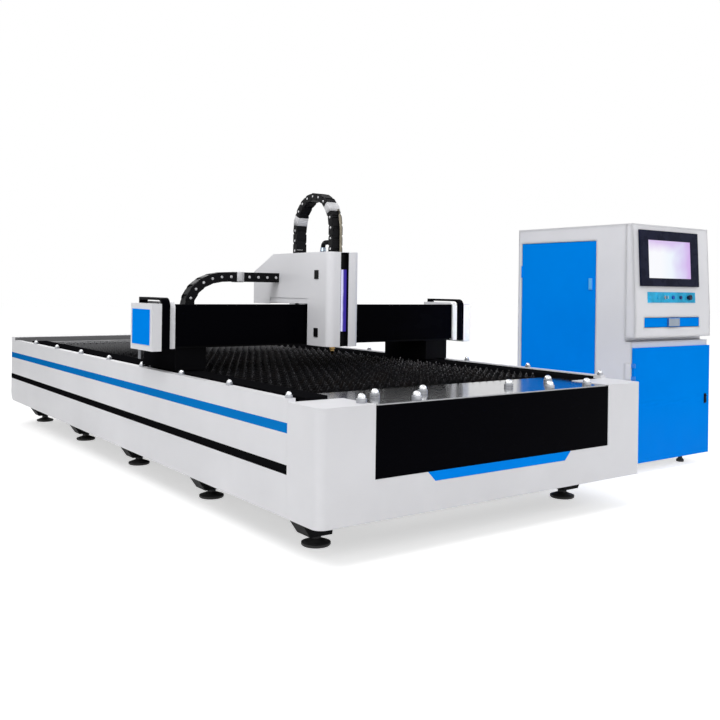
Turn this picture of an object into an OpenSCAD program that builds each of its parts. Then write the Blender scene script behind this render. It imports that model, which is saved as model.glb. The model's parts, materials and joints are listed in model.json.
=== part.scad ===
// Flat-bed laser cutting machine: long bed, travelling gantry, head with drag chains, control cabinet.
// Millimetres, +Z up. Everything is drawn about the bed's centre line, front end and floor,
// then moved by one offset so that the origin is the bottom centre of the whole machine.

/* [Bed] */
// width across the side panels
bed_w = 2000; // [1960:10:2200]
// length from the front face to the rear face
bed_l = 4560; // [4450:10:5000]
// height of the deck edge above the floor
deck_z = 637; // [610:1:690]
// height of the skirt's lower edge above the floor
skirt_z = 165; // [140:1:190]
// length of the end covers along the sides
wrap = 235; // [190:5:280]
// thickness of the cover sheets
sheet = 3; // [2:0.5:4]
// radius of the upright corners of the end covers
corner_r = 45; // [20:1:70]
// rise of the rear cover above the deck edge
rear_rise = 36; // [10:1:60]

/* [Front panel] */
// width of the black front panel
panel_w = 1454; // [1300:2:1560]
// lower edge of the black front panel above the floor
panel_z = 334; // [310:1:380]
// height of the blue bar under the panel
accent_h = 42; // [25:1:60]
// width of the blue bar along its upper edge
accent_w = 900; // [600:10:1100]

/* [Side stripes] */
// lower edge of the blue stripe
blue_z = 510; // [480:1:540]
// height of the blue stripe
blue_h = 42; // [25:1:60]
// lower edge of the black stripe
black_z = 342; // [300:1:380]
// height of the black stripe
black_h = 39; // [25:1:60]

/* [Levelling feet] */
// feet along one side
foot_n = 5; // [4:1:7]
// distance of the first feet from the bed's front end
foot_inset = 340; // [320:5:400]
// distance of the last feet from the bed's rear end
foot_tail = 200; // [200:5:280]
// radius of a foot pad
foot_r = 64; // [50:1:70]

/* [Slat table] */
// distance from slat to slat
slat_pitch = 90; // [80:1:130]
// slat thickness
slat_t = 4; // [3:0.5:6]
// slat height, tip to lower edge
slat_h = 100; // [90:1:115]
// distance from tooth to tooth
tooth_pitch = 50; // [45:1:70]
// tooth height
tooth_h = 28; // [15:1:40]

/* [Ball transfers] */
// radius of the balls along the sides
ball_r = 12; // [10:0.5:14]
// radius of the balls on the front deck
deck_ball_r = 18; // [16:0.5:22]
// balls along one side
side_balls = 8; // [5:1:9]

/* [Gantry] */
// front face of the gantry from the bed's front end
gantry_y = 1440; // [1350:10:1500]
// depth of the beam box
beam_d = 270; // [250:5:290]
// height of the beam box
beam_h = 185; // [150:5:190]
// height of the gantry feet above the rail covers
foot_rise = 119; // [106:1:136]
// length of a gantry foot along the bed
gfoot_l = 430; // [410:5:450]
// rack module
gear_m = 5; // [4.5:0.5:5.5]
// pinion teeth
gear_n = 14; // [14:1:15]

/* [Head] */
// middle of the head across the bed at rest
head_x = -55; // [-80:1:80]
// width of the head cover
head_w = 210; // [200:1:240]
// height of the head cover's top above the floor
head_top = 1305; // [1290:1:1340]
// depth of the cover in front of the gantry
head_front = 240; // [230:1:270]
// radius of the cover's upright front corners
head_r = 38; // [10:1:45]
// width of the light channel
led_w = 54; // [40:1:60]

/* [Drag chains] */
// link length, pivot to pivot
link_p = 60; // [58:0.5:62]
// link height
link_h = 40; // [36:0.5:41]
// chain width
link_w = 70; // [60:1:72]

/* [Cabinet] */
// aisle between the bed and the cabinet
aisle = 570; // [530:5:900]
// cabinet width
cab_w = 785; // [740:5:860]
// cabinet depth
cab_d = 960; // [920:5:1000]
// height of the cabinet's top
cab_h = 1520; // [1500:5:1580]
// cabinet front from the bed's front end
cab_y = 470; // [300:10:700]
// lean of the screen face
lean = 3; // [2:0.5:6]

/* [Hidden] */
$fn = 48;
c = 0.3;              // clearance of running pieces
bw2 = bed_w / 2;
rail_z = deck_z - 87; // rail seat on the side beams
rear_r = 70;          // lower rear corner of the side panels
hood_d = 100;         // depth of the raised rear hood
hood_y = bed_l - hood_d;
beam_out = bw2 - 15;
beam_in = bw2 - 200;
rail_x = bw2 - 138;
roof_in = beam_in;
roof_out = bw2 - 90;
roof_z = deck_z + 14;
rim_z = deck_z + 14;   // raised rim along the sides
rim_w = 38;
strip_in = bw2 - 50;
rack_x = bw2 - 42;    // rack pitch line
gear_r = gear_m * gear_n / 2;
gear_add = 0.8 * gear_m;
gear_ded = gear_m;
rack_p = PI * gear_m;
pin_x = rack_x - gear_r;
run_y0 = wrap + 8;    // rails, racks and rail covers
deck_y1 = wrap + 205; // rear edge of the front deck
run_y1 = bed_l - wrap - 20;
table_y0 = wrap + 250;
table_y1 = bed_l - wrap - 125;
slat_top = deck_z + 14;
slat_bot = slat_top - slat_h;
comb_t = 8;
slat_n = floor((table_y1 - 35 - table_y0) / slat_pitch);
slat_len = 2 * (beam_in - 2);
tooth_n = floor((slat_len - 20) / tooth_pitch);
foot_x = bw2 - 215;
foot_step = (bed_l - foot_inset - foot_tail) / (foot_n - 1);
fb_z = skirt_z - 115; // lower face of the foot brackets
tray_bot = skirt_z + 145; // seat of the scrap tray on the cross members
gf_z0 = roof_z + 5;   // underside of a gantry foot
gf_z1 = gf_z0 + foot_rise;
gf_y0 = gantry_y + 25;
gf_y1 = gf_y0 + gfoot_l;
pin_y = gf_y1 - 45;
beam_y0 = gantry_y + 20;
beam_y1 = beam_y0 + beam_d;
beam_x = bw2 - 35;
beam_z1 = gf_z1 + beam_h;
lip_z = beam_z1 + 47; // upper edge of the black beam cover
end_y0 = gantry_y - 27;
end_y1 = end_y0 + 314;
plate_out = beam_x + 35;
frame_out = plate_out + 45;
cover_out = frame_out + 52;
badge_out = cover_out + 3;
xr_y0 = beam_y0 + 45; // rails on the beam
xr_y1 = beam_y0 + 155;
car_z = lip_z + 6;    // underside of the carriage plate
hy0 = gantry_y - head_front;
hy1 = gantry_y - 20;
hy2 = beam_y1 + 120;
hy3 = hy2 + 205;
hz0 = gf_z1;
hz1 = car_z + 28;
hz2 = car_z - 10;
hz4 = head_top - 105;
hw2 = head_w / 2;
tray_y = beam_y1 + 47;   // middle of the cable tray behind the beam
xc_z = head_top - 145;   // middle of the upper chain run
// pivots of a chain that starts at 0 and follows the given headings in degrees
function walk(h, i) = i == 0 ? [0, 0] : walk(h, i - 1) + link_p * [cos(h[i - 1]), sin(h[i - 1])];
xc_heads = concat([for (k = [1 : 5]) 180], [for (k = [1 : 12]) 180 + 90 * (1 - cos(180 * k / 13))],
                  [for (k = [1 : 8]) 360]);
zc_heads = concat([for (k = [1 : 6]) 90], [for (k = [0 : 9]) 81 - 18 * k], [for (k = [1 : 2]) -90]);
// first pivot of the chain along the beam, floor of the cable tray, first pivot of the upright chain
xc_x = head_x - hw2 - link_h / 2 - 2;
tray_z = xc_z + walk(xc_heads, len(xc_heads))[1] - link_h / 2 - 0.2;
zc_z = head_top + 20 - 4 * link_p;
zc_end = walk(zc_heads, len(zc_heads));
led_y = hy0 + 25;
tool_y = hy0 + 115;      // axis of the cutting head
zc_y = hy0 + 98;         // front column of the upright chain
zplate_y = hy1 - 25;     // front face of the carriage's upright plate
cl = bw2 + aisle;
cr = cl + cab_w;
cm = (cl + cr) / 2;
cf = cab_y;
cb = cf + cab_d;
cz = 60;
cwall = 4;
neck_z = cab_h - 720;
door_top = neck_z - 35;
con_z0 = neck_z + 25;
knee_z = neck_z + 165;
drw_z = knee_z - 78;     // runners of the keyboard drawer
sd_y0 = cf + 300;        // side door
sd_y1 = cb - 35;
sd_z0 = cz + 80;
sd_z1 = cab_h - 98;
screen_x = cm - 42;      // middle of the screen frame
screen_w = 596;
drw_x = cm - 17;         // middle of the keyboard drawer
org_x = (cr - badge_out) / 2;
org_y = bed_l / 2;
WHITE = [0.86, 0.86, 0.88];
BLUE = [0.03, 0.48, 0.88];
BLACK = [0.06, 0.06, 0.07];
STEEL = [0.66, 0.68, 0.70];
DARK = [0.22, 0.22, 0.24];

// helpers
module place() {
  translate([-org_x, -org_y, 0]) children();
}
// box from one corner to the opposite corner
module bx(a, b) {
  translate(a) cube([b[0] - a[0], b[1] - a[1], b[2] - a[2]]);
}
// both sides of the centre line
module both() {
  children();
  mirror([1, 0, 0]) children();
}
// outline in the X-Z plane drawn along Y
module along_y(y0, y1) {
  translate([0, y1, 0]) rotate([90, 0, 0]) linear_extrude(y1 - y0) children();
}
// outline in the Y-Z plane drawn along X
module along_x(x0, x1) {
  translate([x0, 0, 0]) rotate([90, 0, 90]) linear_extrude(x1 - x0) children();
}
// rectangle with two rounded corners at its low-Y end
module front_round(x0, x1, y0, y1, r) {
  translate([x0, y0 + r]) square([x1 - x0, y1 - y0 - r]);
  translate([x0 + r, y0]) square([x1 - x0 - 2 * r, r + 1]);
  translate([x0 + r, y0 + r]) circle(r);
  translate([x1 - r, y0 + r]) circle(r);
}
// rectangle with two rounded corners at its high-Y end
module rear_round(x0, x1, y0, y1, r) {
  translate([x0, y0]) square([x1 - x0, y1 - y0 - r]);
  translate([x0 + r, y1 - r - 1]) square([x1 - x0 - 2 * r, r + 1]);
  translate([x0 + r, y1 - r]) circle(r);
  translate([x1 - r, y1 - r]) circle(r);
}
// plate outline with one rounded upper corner
module shoulder(y0, y1, z0, z1, r) {
  translate([y0, z0]) square([y1 - y0, z1 - z0 - r]);
  translate([y0 + r, z0]) square([y1 - y0 - r, z1 - z0]);
  translate([y0 + r, z1 - r]) circle(r);
}
// frame of the leaning screen face: x across, -y outwards, z up the face
module on_face() {
  translate([cm, cf, knee_z]) rotate([-lean, 0, 0]) children();
}
// disc standing on the leaning face, from depth a (inside) to height b (outside)
module peg(x, z, r, a, b) {
  translate([x, a, z]) rotate([90, 0, 0]) cylinder(r = r, h = a + b);
}

// bed
module tube(a, b, w) {
  difference() {
    bx(a, b);
    bx([a[0] + w, a[1] - 1, a[2] + w], [b[0] - w, b[1] + 1, b[2] - w]);
  }
}
function foot_y(i) = foot_inset + i * foot_step;
module bed_frame() {
  color(DARK) difference() {
    union() {
      both() tube([beam_in, 60, skirt_z + 10], [beam_out, bed_l - 60, rail_z], 12);
      for (i = [0 : foot_n - 1]) {
        bx([-beam_in - 6, foot_y(i) - 45, tray_bot - 90], [beam_in + 6, foot_y(i) + 45, tray_bot]);
        both() along_y(foot_y(i) - 54, foot_y(i) + 54)
          polygon([[foot_x - 60, skirt_z + 12], [foot_x - 48, fb_z], [foot_x + 62, fb_z],
                   [foot_x + 150, skirt_z + 12]]);
      }
      bx([-beam_in - 6, wrap - 100, rail_z - 120], [beam_in + 6, wrap - 10, deck_z - 7]);
      bx([-beam_in - 6, bed_l - wrap - 50, rail_z - 120], [beam_in + 6, bed_l - wrap + 40, rail_z]);
      bx([-beam_in + 20, bed_l - wrap - 50, rail_z - 1], [beam_in - 20, bed_l - wrap + 40, deck_z - 7]);
    }
    both() for (i = [0 : foot_n - 1])
      translate([foot_x, foot_y(i), fb_z - 1]) cylinder(r = 12 + c, h = skirt_z - 9 - fb_z);
  }
}

module side_outline() {
  g = sheet / 2;
  polygon([[bw2 - 40, skirt_z], [bw2, skirt_z], [bw2, black_z], [bw2 - g, black_z],
           [bw2 - g, black_z + black_h], [bw2, black_z + black_h], [bw2, blue_z], [bw2 - g, blue_z],
           [bw2 - g, blue_z + blue_h], [bw2, blue_z + blue_h], [bw2, rim_z], [bw2 - rim_w, rim_z],
           [bw2 - rim_w, deck_z - 3], [bw2 - rim_w + sheet, deck_z - 3],
           [bw2 - rim_w + sheet, rim_z - sheet], [bw2 - sheet, rim_z - sheet],
           [bw2 - sheet, skirt_z + sheet], [bw2 - 40, skirt_z + sheet]]);
}
// end view from the side with the rounded lower rear corner, k smaller all round
module rear_outline(y0, z1, k) {
  r = rear_r;
  union() {
    translate([y0, skirt_z + k]) square([bed_l - r - y0, z1 - skirt_z - k]);
    translate([y0, skirt_z + r]) square([bed_l - k - y0, z1 - skirt_z - r]);
    translate([bed_l - r, skirt_z + r]) circle(r - k);
  }
}
module side_panels() {
  x = bw2 - sheet;
  color(WHITE) both() difference() {
    union() {
      intersection() {
        along_y(wrap, bed_l) side_outline();
        along_x(bw2 - 60, bw2 + 1) rear_outline(wrap - 1, rim_z + 1, 0);
      }
      bx([bw2 - rim_w, wrap, deck_z - 3], [bw2, wrap + sheet, rim_z]);
    }
    bx([bw2 - 60, hood_y - 1, deck_z - 10], [x, bed_l + 1, rim_z + 1]);
    bx([x - 1, hood_y - 1, deck_z], [bw2 + 1, bed_l + 1, rim_z + 1]);
    bx([bw2 - 60, bed_l - 2 * rear_r - 1, skirt_z - 1], [x, bed_l + 1, deck_z - 2 * sheet]);
    bx([bw2 - 60, bed_l - sheet - 1, skirt_z - 1], [x, bed_l + 1, deck_z + 1]);
  }
}
module blue_side_stripes() {
  color(BLUE) both() bx([bw2 - sheet / 2, wrap, blue_z], [bw2, bed_l, blue_z + blue_h]);
}
module black_side_stripes() {
  color(BLACK) both() bx([bw2 - sheet / 2, wrap, black_z], [bw2, bed_l, black_z + black_h]);
}

module accent_outline(k) {
  polygon([[-accent_w / 2 + k, panel_z + 1], [accent_w / 2 - k, panel_z + 1],
           [accent_w / 2 - accent_h + k, panel_z - accent_h + k],
           [-accent_w / 2 + accent_h - k, panel_z - accent_h + k]]);
}
module front_cover() {
  pw = panel_w / 2;
  color(WHITE) difference() {
    translate([0, 0, skirt_z]) linear_extrude(deck_z - skirt_z)
      front_round(-bw2, bw2, 0, wrap, corner_r);
    translate([0, 0, skirt_z - 1]) linear_extrude(deck_z - skirt_z - sheet + 1)
      front_round(-bw2 + sheet, bw2 - sheet, sheet, wrap + 1, corner_r - sheet);
    bx([-pw, -1, panel_z], [pw, wrap + 1, deck_z + 1]);
    along_y(-1, sheet + 1) accent_outline(0);
  }
}
module front_panel() {
  pw = panel_w / 2 + 15;
  color(BLACK) union() {
    bx([-pw, sheet, panel_z - accent_h - 15], [pw, sheet + 4, deck_z - 7]);
    bx([-pw, sheet + 3, panel_z - accent_h - 15], [pw, wrap - 100, panel_z - accent_h - 11]);
  }
}
module front_accent() {
  color(BLUE) along_y(0, sheet) difference() {
    accent_outline(c);
    translate([-accent_w, panel_z - c]) square([2 * accent_w, 10]);
  }
}
module rear_cover() {
  top = deck_z + rear_rise;
  x = bw2 - sheet;
  y = hood_y;
  w = bw2 - rim_w - 1;
  color(WHITE) union() {
    difference() {
      along_x(-x, x) rear_outline(bed_l - 2 * rear_r, deck_z + 1, 0);
      along_x(-x - 1, x + 1) rear_outline(bed_l - 2 * rear_r - 1, deck_z + 2, sheet);
    }
    difference() {
      bx([-bw2, y, deck_z], [bw2, bed_l, top]);
      bx([-bw2 + sheet, y + sheet, deck_z - 1], [bw2 - sheet, bed_l - sheet, top - sheet]);
    }
    bx([-w, bed_l - wrap, deck_z - sheet], [w, y + sheet, deck_z]);
    bx([-w, y, deck_z - sheet], [w, y + sheet, deck_z + 1]);
  }
}
module deck_plates() {
  pw = panel_w / 2 - 1;
  tw = beam_in - comb_t - 2;
  color(STEEL) union() {
    bx([-pw, sheet + 5, deck_z - 7], [pw, wrap + 1, deck_z - 3]);
    bx([-roof_in + 1, wrap - 1, deck_z - 7], [roof_in - 1, deck_y1 - 1, deck_z - 3]);
    bx([-pw, sheet + 5, deck_z - 7], [pw, sheet + 9, deck_z - 1]);
    bx([-tw, deck_y1 - 5, rail_z - 60], [tw, deck_y1 - 1, deck_z - 4]);
  }
  color(STEEL) union() {
    bx([-tw, table_y1 - 25, deck_z - 7], [tw, bed_l - wrap + 60, deck_z - sheet]);
    bx([-tw, table_y1 - 25, rail_z - 60], [tw, table_y1 - 21, deck_z - 4]);
  }
}
module side_deck_strips() {
  color(STEEL) both() along_y(run_y0, run_y1)
    polygon([[strip_in, deck_z - 7], [beam_out - 4, deck_z - 7], [beam_out - 4, rail_z], [beam_out, rail_z],
             [beam_out, deck_z - 3], [strip_in, deck_z - 3]]);
}
module rail_covers() {
  color(BLACK) both() union() {
    along_y(run_y0, run_y1)
      polygon([[roof_in, rail_z], [roof_in + 3, rail_z], [roof_in + 3, roof_z - 3],
               [roof_out - 3, roof_z - 3], [roof_out - 3, roof_z - 17], [roof_out, roof_z - 17],
               [roof_out, roof_z - 3], [roof_out - 3, roof_z], [roof_in, roof_z]]);
    for (y = [run_y0, run_y1 - 3]) bx([roof_in + 1, y, rail_z], [roof_out - 1, y + 3, roof_z - 2]);
  }
}
module rail_outline(x, z) {
  polygon([[x - 12.5, z], [x + 12.5, z], [x + 12.5, z + 8], [x + 9, z + 12], [x + 9, z + 15],
           [x + 12.5, z + 18], [x + 12.5, z + 22], [x - 12.5, z + 22], [x - 12.5, z + 18], [x - 9, z + 15],
           [x - 9, z + 12], [x - 12.5, z + 8]]);
}
module y_guide_rails() {
  color(STEEL) both() along_y(run_y0 + 5, run_y1 - 5) rail_outline(rail_x, rail_z);
}
// rack teeth point to the centre line; a gap faces the pinion's tooth at rest
module y_racks() {
  n0 = ceil((run_y0 + 10 - pin_y) / rack_p);
  n1 = floor((run_y1 - 10 - pin_y) / rack_p);
  h = rack_p / 4 - 0.15;
  ta = gear_add * tan(20);
  td = gear_ded * tan(20);
  teeth = [for (i = [n0 : n1 - 1]) let (y = pin_y + (i + 0.5) * rack_p)
           each [[rack_x + gear_ded, y - h - td], [rack_x - gear_add, y - h + ta],
                 [rack_x - gear_add, y + h - ta], [rack_x + gear_ded, y + h + td]]];
  pts = concat([[beam_out - 5, pin_y + n0 * rack_p]], [[rack_x + gear_ded, pin_y + n0 * rack_p]], teeth,
               [[rack_x + gear_ded, pin_y + n1 * rack_p]], [[beam_out - 5, pin_y + n1 * rack_p]]);
  color(STEEL) both() translate([0, 0, rail_z]) linear_extrude(32) polygon(pts);
}
function slat_y(i) = table_y0 + (i + 0.5) * slat_pitch;
// toothed comb strips along the side beams carry the slats
module slat_holders() {
  lo = slat_bot - 50;
  hi = slat_bot + 70;
  g = slat_t / 2 + c;
  slots = [for (i = [0 : slat_n - 1])
           each [[slat_y(i) - g, hi], [slat_y(i) - g, slat_bot], [slat_y(i) + g, slat_bot],
                 [slat_y(i) + g, hi]]];
  color(DARK) both() along_x(beam_in - comb_t, beam_in)
    polygon(concat([[table_y0 - 30, lo], [table_y0 - 30, hi]], slots,
                   [[table_y1 + 30, hi], [table_y1 + 30, lo]]));
}
module cutting_slats() {
  x0 = -tooth_n * tooth_pitch / 2;
  edge = [for (k = [0 : tooth_n - 1])
          each [[x0 + k * tooth_pitch + tooth_pitch * 0.18, slat_top - tooth_h],
                [x0 + k * tooth_pitch + tooth_pitch * 0.47, slat_top],
                [x0 + k * tooth_pitch + tooth_pitch * 0.53, slat_top],
                [x0 + k * tooth_pitch + tooth_pitch * 0.82, slat_top - tooth_h]]];
  pts = concat([[-slat_len / 2, slat_bot], [-slat_len / 2, slat_top - tooth_h]], edge,
               [[slat_len / 2, slat_top - tooth_h], [slat_len / 2, slat_bot]]);
  color(STEEL) for (i = [0 : slat_n - 1])
    along_y(slat_y(i) - slat_t / 2, slat_y(i) + slat_t / 2) polygon(pts);
}
// balls on the front deck, as shares of the front panel's width and of the end cover's length
deck_spots = [[-0.518, 0.28], [-0.405, 0.83], [-0.33, 0.19], [-0.215, 0.87],
              [0.147, 0.80], [0.239, 0.20], [0.374, 1.0], [0.424, 0.20]];
side_step = (run_y1 - wrap) / (side_balls - 0.25);
// places of the ball transfers: [place of the seat, ball radius]
spots = concat(
  [for (s = [-1, 1], i = [0 : side_balls - 1])
   [[s * (bw2 - rim_w / 2), wrap + 22 + i * side_step, rim_z], ball_r]],
  [for (q = deck_spots) [[q[0] * panel_w, q[1] * wrap, deck_z - (abs(q[0]) < 0.5 ? 3 : 0)], deck_ball_r]]);
module transfer_cups() {
  color(DARK) for (p = spots) translate(p[0]) difference() {
    cylinder(r = p[1] + 4, h = p[1] * 1.1 - 2);
    translate([0, 0, p[1] * 1.2]) sphere(p[1] + 0.2);
  }
}
module transfer_balls() {
  color([0.85, 0.86, 0.88]) for (p = spots) translate(p[0]) translate([0, 0, p[1] * 1.2]) sphere(p[1]);
}
module leveling_feet() {
  color(BLACK) both() for (i = [0 : foot_n - 1]) translate([foot_x, foot_y(i), 0]) union() {
    rotate_extrude() polygon([[0, 0], [foot_r - 4, 0], [foot_r, 4], [foot_r, 13], [foot_r * 0.55, 24],
                              [24, 28], [12, 28], [12, skirt_z - 15], [0, skirt_z - 15]]);
    translate([0, 0, fb_z - 20]) cylinder(r = 24, h = 20, $fn = 6);
  }
}
module scrap_tray() {
  x = beam_in - 1;
  z = tray_bot;
  color(DARK) along_y(table_y0, table_y1)
    polygon([[-x, z], [x, z], [x, z + 110], [x - 3, z + 110], [x - 3, z + 3], [-x + 3, z + 3],
             [-x + 3, z + 110], [-x, z + 110]]);
}

// cabinet
// lower ends of the front door's hinge barrels
hinge_z = [cz + 96, door_top - 170];
hinge_h = 50;
hinge_r = 6;
// fixed knuckles above and below each barrel, on a leaf against the cabinet's side
module fixed_knuckles() {
  for (z = hinge_z) {
    for (k = [z - 25 - c, z + hinge_h + c]) {
      translate([cl + 1, cf, k]) cylinder(r = hinge_r, h = 25);
      bx([cl - 4, cf, k], [cl, cf + 70, k + 25]);
    }
    bx([cl - 4, cf + 23, z - 25 - c], [cl + 1, cf + 70, z + hinge_h + 25 + c]);
  }
}
module cabinet_shell() {
  color(WHITE) difference() {
    union() {
      bx([cl, cf + 22, cz], [cr, cb, neck_z]);
      bx([cl, cf + 72, neck_z - 1], [cr, cb, cab_h]);
      fixed_knuckles();
    }
    bx([cl + cwall, cf + 22 + cwall, cz + cwall], [cr - cwall, cb - cwall, neck_z - cwall]);
    bx([cl + cwall, cf + 72 + cwall, neck_z - cwall - 1], [cr - cwall, cb - cwall, cab_h - cwall]);
    bx([cl + 45, cf + 21, cz + 45], [cr - 45, cf + 23 + cwall, door_top - 45]);
    bx([cl + 45, cf + 71, con_z0 + 25], [cr - 45, cf + 73 + cwall, cab_h - 40]);
    bx([cl - 1, sd_y0 - 3, sd_z0 - 3], [cl + cwall + 1, sd_y1 + 3, sd_z1 + 3]);
    for (z = [sd_z0 + 150, sd_z1 - 230]) translate([cl, sd_y1, z - 1]) cylinder(r = 8, h = 82);
    for (k = [0 : 7]) translate([cm + (k - 3.5) * 55, cb, cz + 205])
      cube([30, 3 * cwall, 130], center = true);
    translate([cm, cb + 1, 420]) rotate([90, 0, 0]) cylinder(r = 20, h = cwall + 2);
  }
}
module console_outline(k) {
  top = cab_h - k;
  s = tan(lean);
  polygon([[cf + k, con_z0 + k], [cf + k, knee_z], [cf + k + (top - knee_z) * s, top], [cf + 72, top],
           [cf + 72, con_z0 + k]]);
}
module console_housing() {
  k = cwall;
  dw = 286;
  color(WHITE) difference() {
    union() {
      difference() {
        along_x(cl, cr) console_outline(0);
        along_x(cl + k, cr - k) union() {
          console_outline(k);
          translate([cf + 71, con_z0 + k]) square([5, cab_h - con_z0 - 2 * k]);
        }
      }
      for (x = [drw_x - dw + 15, drw_x + dw - 15])
        bx([x - 18, cf + k - 1, drw_z - 8], [x + 18, cf + 360, drw_z]);
    }
    bx([drw_x - dw, cf - 1, drw_z], [drw_x + dw, cf + k + 1, drw_z + 62]);
    on_face() for (i = [0 : 3]) peg(button_x(i), 108, 11 + c, k + 6, 5);
  }
}
module screen_bezel() {
  w = screen_w / 2;
  color([0.07, 0.06, 0.10]) on_face() translate([screen_x - cm, -0.02, 348]) difference() {
    bx([-w, -16, -172], [w, 0, 172]);
    bx([-w + 76, -17, -122], [w - 76, 1, 113]);
    bx([-w + 68, -8, -130], [w - 68, 1, 121]);
  }
}
module screen() {
  w = screen_w / 2 - 68.5;
  color([0.85, 0.86, 0.95]) on_face() translate([screen_x - cm, -0.02, 348])
    bx([-w, -7.9, -129.5], [w, 0, 120.5]);
}
module button_plate() {
  color([0.05, 0.60, 0.72]) on_face() translate([0, -0.02, 0]) difference() {
    union() {
      bx([-268, -3, 75], [228, 0, 141]);
      peg(-243, 108, 12, -2, 8);
      peg(-165, 108, 11, -2, 9);
    }
    for (i = [0 : 3]) peg(button_x(i), 108, 11 + c, 1, 5);
  }
}
function button_x(i) = -95 + i * 81;
module plunger(i, out) {
  peg(button_x(i), 108, 11, cwall + 4, out);
  peg(button_x(i), 108, 14, cwall + 7, -cwall - c - 0.6);
}
module key_switch() {
  color(STEEL) on_face() union() {
    plunger(0, 8);
    translate([button_x(0), 0, 108]) bx([-2.5, -26, -9], [2.5, -6, 9]);
  }
}
module start_button() {
  color([0.05, 0.30, 0.75]) on_face() plunger(1, 11);
}
module stop_button() {
  color([0.12, 0.14, 0.30]) on_face() plunger(2, 11);
}
module emergency_stop() {
  color([0.06, 0.07, 0.14]) on_face() union() {
    plunger(3, 16);
    peg(button_x(3), 108, 16, -14, 25);
  }
}
module keyboard_drawer() {
  color(BLUE) union() {
    bx([drw_x - 284, cf, drw_z + 3], [drw_x + 284, cf + 16, drw_z + 59]);
    difference() {
      bx([drw_x - 280, cf + 15, drw_z + c], [drw_x + 280, cf + 345, drw_z + 53]);
      bx([drw_x - 277, cf + 18, drw_z + 5], [drw_x + 277, cf + 342, drw_z + 54]);
    }
  }
}
module drawer_pull() {
  color(STEEL) difference() {
    bx([drw_x - 56, cf - 14, drw_z + 7], [drw_x + 56, cf, drw_z + 55]);
    bx([drw_x - 48, cf - 10, drw_z + 6], [drw_x + 48, cf - 1.5, drw_z + 45]);
  }
}
module side_door() {
  color(BLUE) union() {
    difference() {
      bx([cl, sd_y0, sd_z0], [cl + 18, sd_y1, sd_z1]);
      bx([cl + 3, sd_y0 + 3, sd_z0 + 3], [cl + 19, sd_y1 - 3, sd_z1 - 3]);
    }
    for (z = [sd_z0 + 150, sd_z1 - 230]) translate([cl, sd_y1, z]) cylinder(r = 7, h = 80);
  }
}
module side_door_latch() {
  z = (sd_z0 + sd_z1) / 2 + 370;
  color(STEEL) union() {
    bx([cl - 6, sd_y0 + 24, z - 37], [cl, sd_y0 + 50, z + 37]);
    bx([cl - 11, sd_y0 + 29, z - 31], [cl - 5, sd_y0 + 45, z + 18]);
  }
}
module front_door() {
  z0 = cz + 6;
  color(BLUE) union() {
    difference() {
      bx([cl + 1, cf, z0], [cr - 1, cf + 20, door_top]);
      bx([cl + 4, cf + 3, z0 + 3], [cr - 4, cf + 21, door_top - 3]);
      for (z = hinge_z) translate([cl + 1, cf, z - 27]) cylinder(r = hinge_r + 1.5, h = hinge_h + 54);
    }
    for (z = hinge_z) {
      translate([cl + 1, cf, z]) cylinder(r = hinge_r, h = hinge_h);
      bx([cl + 1, cf, z], [cl + 12, cf + 3, z + hinge_h]);
    }
  }
}
module front_door_lock() {
  z = (cz + door_top) / 2 + 7.5;
  color(BLACK) union() {
    bx([cr - 58, cf - 5, z - 31], [cr - 38, cf, z + 31]);
    translate([cr - 48, cf - 4, z + 17]) rotate([90, 0, 0]) cylinder(r = 6.5, h = 7);
    bx([cr - 53, cf - 10, z - 25], [cr - 43, cf - 4, z + 5]);
  }
}
module cabinet_feet() {
  color(BLACK) for (x = [cl + 145, cr - 145], y = [cf + 110, cb - 90]) translate([x, y, 0])
    rotate_extrude() polygon([[0, 0], [24, 0], [24, 14], [13, 24], [13, cz], [0, cz]]);
}
module laser_source() {
  z0 = cz + cwall;
  color([0.30, 0.32, 0.35]) union() {
    bx([cl + 130, cf + 300, z0], [cr - 130, cb - 140, z0 + 330]);
    for (x = [cl + 170, cr - 200]) bx([x, cf + 270, z0 + 60], [x + 30, cf + 301, z0 + 270]);
    translate([cm, cb - 141, z0 + 200]) rotate([-90, 0, 0]) cylinder(r = 28, h = 70);
  }
}
module electrics_panel() {
  y = cb - cwall;
  z0 = neck_z - 280;
  p4 = (cab_w - 220 - 115) / 3;
  p6 = (cab_w - 260 - 70) / 5;
  color([0.55, 0.56, 0.58]) union() {
    bx([cl + 70, y - 8, z0], [cr - 70, y, cab_h - 130]);
    for (k = [0 : 3])
      bx([cl + 110 + k * p4, y - 150, cab_h - 500], [cl + 225 + k * p4, y - 7, cab_h - 260]);
    for (z = [z0 + 120, z0 + 300]) bx([cl + 110, y - 26, z], [cr - 110, y - 7, z + 35]);
    for (k = [0 : 5]) bx([cl + 130 + k * p6, y - 90, z0 + 100], [cl + 200 + k * p6, y - 20, z0 + 180]);
  }
}

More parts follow.
